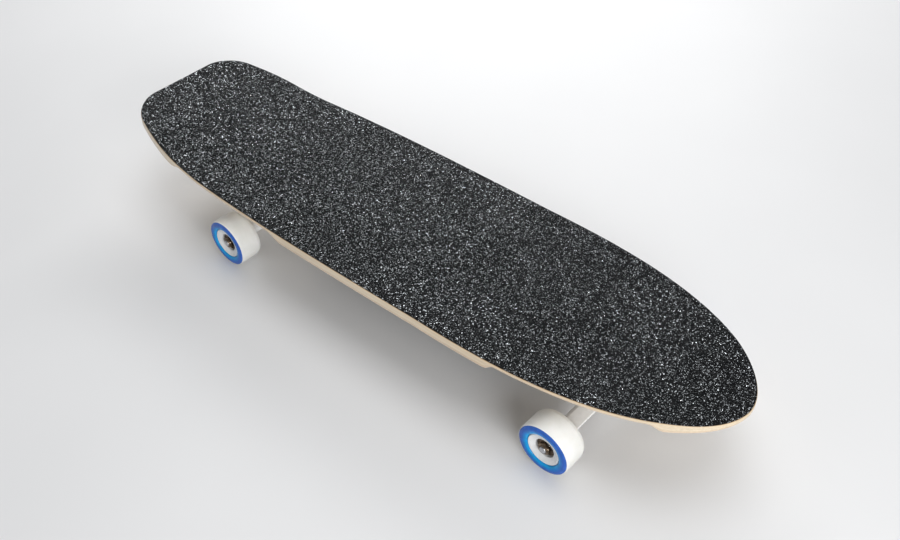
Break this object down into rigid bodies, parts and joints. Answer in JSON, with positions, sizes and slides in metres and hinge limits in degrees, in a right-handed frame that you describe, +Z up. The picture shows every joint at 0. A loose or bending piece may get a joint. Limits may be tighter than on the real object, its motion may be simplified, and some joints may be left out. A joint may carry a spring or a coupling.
{
  "type": "electric skateboard",
  "caption": "Kicktail electric skateboard with a dished maple deck, black grip, sprung trucks, creamy wheels with blue hub rings and a slim battery housing underneath.",
  "frame": {"origin": "on the ground under the middle of the board's length and width", "axes": "+X points to the nose, +Y to the rider's left, +Z up"},
  "size_m": [0.871, 0.2494, 0.1229],
  "materials": {
    "grip": "coarse black grip with glittering grains",
    "maple": "clear satin lacquer over pale maple plies",
    "black_plastic": "fine moulded texture",
    "black_rubber": "matt",
    "white_paint": "satin white powder coat on cast alloy",
    "white_urethane": "satin cast urethane, creamy white",
    "white_plastic": "gloss moulded nylon, white",
    "amber_urethane": "cast urethane, slightly see-through",
    "blue_enamel": "glossy blue enamel",
    "steel": "zinc plated or ground",
    "copper": "laminated core wound with copper",
    "battery_wrap": "heat-shrink film round the cells",
    "circuit_board": "green solder mask",
    "aluminium": "anodised",
    "lens": "frosted clear"
  },
  "bodies": {
    "root": {"deck": "maple", "grip_tape": "grip", "underside_cover": "black_plastic", "cover_gasket": "black_rubber", "battery_pack": "battery_wrap", "battery_board": "circuit_board", "motor_controller": "aluminium", "button_bezel": "aluminium", "charge_port": "black_plastic", "indicator_lens": "lens", "front_riser_pad": "black_rubber", "front_baseplate": "white_paint", "front_pivot_cup": "black_rubber", "front_kingpin": "steel", "front_kingpin_nut": "steel", "front_upper_bushing": "amber_urethane", "front_lower_bushing": "amber_urethane", "front_upper_washer": "steel", "front_lower_washer": "steel", "rear_riser_pad": "black_rubber", "rear_baseplate": "white_paint", "rear_pivot_cup": "black_rubber", "rear_kingpin": "steel", "rear_kingpin_nut": "steel", "rear_upper_bushing": "amber_urethane", "rear_lower_bushing": "amber_urethane", "rear_upper_washer": "steel", "rear_lower_washer": "steel"},
    "power_button": {"power_button": "black_plastic"},
    "charge_port_cap": {"charge_port_cap": "black_rubber"},
    "front_left_wheel": {"front_left_tyre": "white_urethane", "front_left_hub": "blue_enamel", "front_left_hub_cover": "white_plastic", "front_left_outer_bearing": "steel", "front_left_inner_bearing": "steel"},
    "front_right_wheel": {"front_right_tyre": "white_urethane", "front_right_hub": "blue_enamel", "front_right_hub_cover": "white_plastic", "front_right_outer_bearing": "steel", "front_right_inner_bearing": "steel"},
    "front_hanger": {"front_hanger": "white_paint", "front_axle": "steel", "front_left_axle_nut": "steel", "front_right_axle_nut": "steel"},
    "rear_left_wheel": {"rear_left_tyre": "white_urethane", "rear_left_hub": "blue_enamel", "rear_left_hub_cover": "white_plastic", "rear_left_outer_bearing": "steel", "rear_left_inner_bearing": "steel"},
    "rear_right_wheel": {"rear_right_tyre": "white_urethane", "rear_right_hub": "blue_enamel", "rear_right_hub_cover": "white_plastic", "rear_right_outer_bearing": "steel", "rear_right_inner_bearing": "steel"},
    "rear_hanger": {"rear_hanger": "white_paint", "rear_axle": "steel", "rear_left_axle_nut": "steel", "rear_left_stator": "copper", "rear_right_axle_nut": "steel", "rear_right_stator": "copper"}
  },
  "joints": [
    {"name": "front_steer", "type": "hinge", "parent": "root", "child": "front_hanger", "pos_m": [0.2642, 0, 0.03885], "axis": [0.866, 0, 0.5], "range_deg": [-12, 12], "stiffness_Nm_per_rad": 45, "deforming": ["front_upper_bushing", "front_lower_bushing"]},
    {"name": "front_left_spin", "type": "hinge", "parent": "front_hanger", "child": "front_left_wheel", "pos_m": [0.2862, 0.0927, 0.03085], "axis": [0, 1, 0], "continuous": true},
    {"name": "front_right_spin", "type": "hinge", "parent": "front_hanger", "child": "front_right_wheel", "pos_m": [0.2862, -0.0927, 0.03085], "axis": [0, 1, 0], "continuous": true},
    {"name": "rear_steer", "type": "hinge", "parent": "root", "child": "rear_hanger", "pos_m": [-0.1892, 0, 0.03885], "axis": [-0.866, 0, 0.5], "range_deg": [-12, 12], "stiffness_Nm_per_rad": 45, "deforming": ["rear_upper_bushing", "rear_lower_bushing"]},
    {"name": "rear_left_spin", "type": "hinge", "parent": "rear_hanger", "child": "rear_left_wheel", "pos_m": [-0.2112, 0.0927, 0.03085], "axis": [0, 1, 0], "continuous": true},
    {"name": "rear_right_spin", "type": "hinge", "parent": "rear_hanger", "child": "rear_right_wheel", "pos_m": [-0.2112, -0.0927, 0.03085], "axis": [0, 1, 0], "continuous": true},
    {"name": "power_button_press", "type": "slide", "parent": "root", "child": "power_button", "axis": [0, -1, 0], "range_m": [0, 0.0015], "stiffness_N_per_m": 600},
    {"name": "charge_cap_open", "type": "hinge", "parent": "root", "child": "charge_port_cap", "pos_m": [0.1415, 0.0745, 0.0471], "axis": [-1, 0, 0], "range_deg": [0, 150]}
  ]
}
